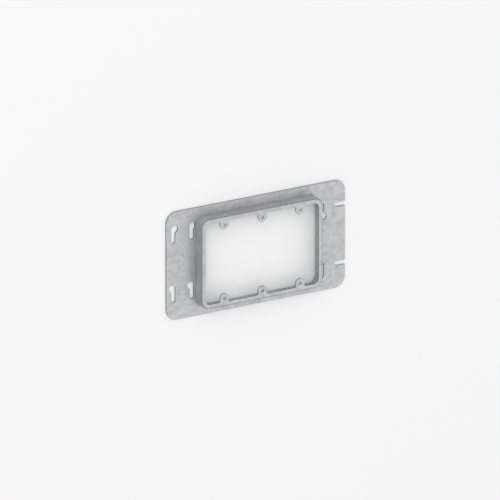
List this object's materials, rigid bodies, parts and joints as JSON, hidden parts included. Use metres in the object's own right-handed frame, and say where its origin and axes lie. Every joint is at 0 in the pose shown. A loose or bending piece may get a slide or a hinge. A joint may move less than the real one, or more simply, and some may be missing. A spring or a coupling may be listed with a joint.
{
  "type": "mud ring",
  "caption": "Flat mud ring for wall boxes: raised rectangular collar with a turned-in lip, screw ears round a multi-gang opening, twist-lock keyholes and edge slots.",
  "frame": {"origin": "centre of the plate's flat back face, on the plane that rests on the box", "axes": "+X along the row of gangs towards the open edge slots, +Y up the plate towards the upper device screws, +Z out of the plate towards the rim of the collar; the ring lies on its back"},
  "size_m": [0.2172, 0.1222, 0.0159],
  "materials": {
    "galvanised_steel": "satin zinc coat with a faint spangle"
  },
  "bodies": {
    "root": {"mud_ring": "galvanised_steel"}
  },
  "joints": []
}
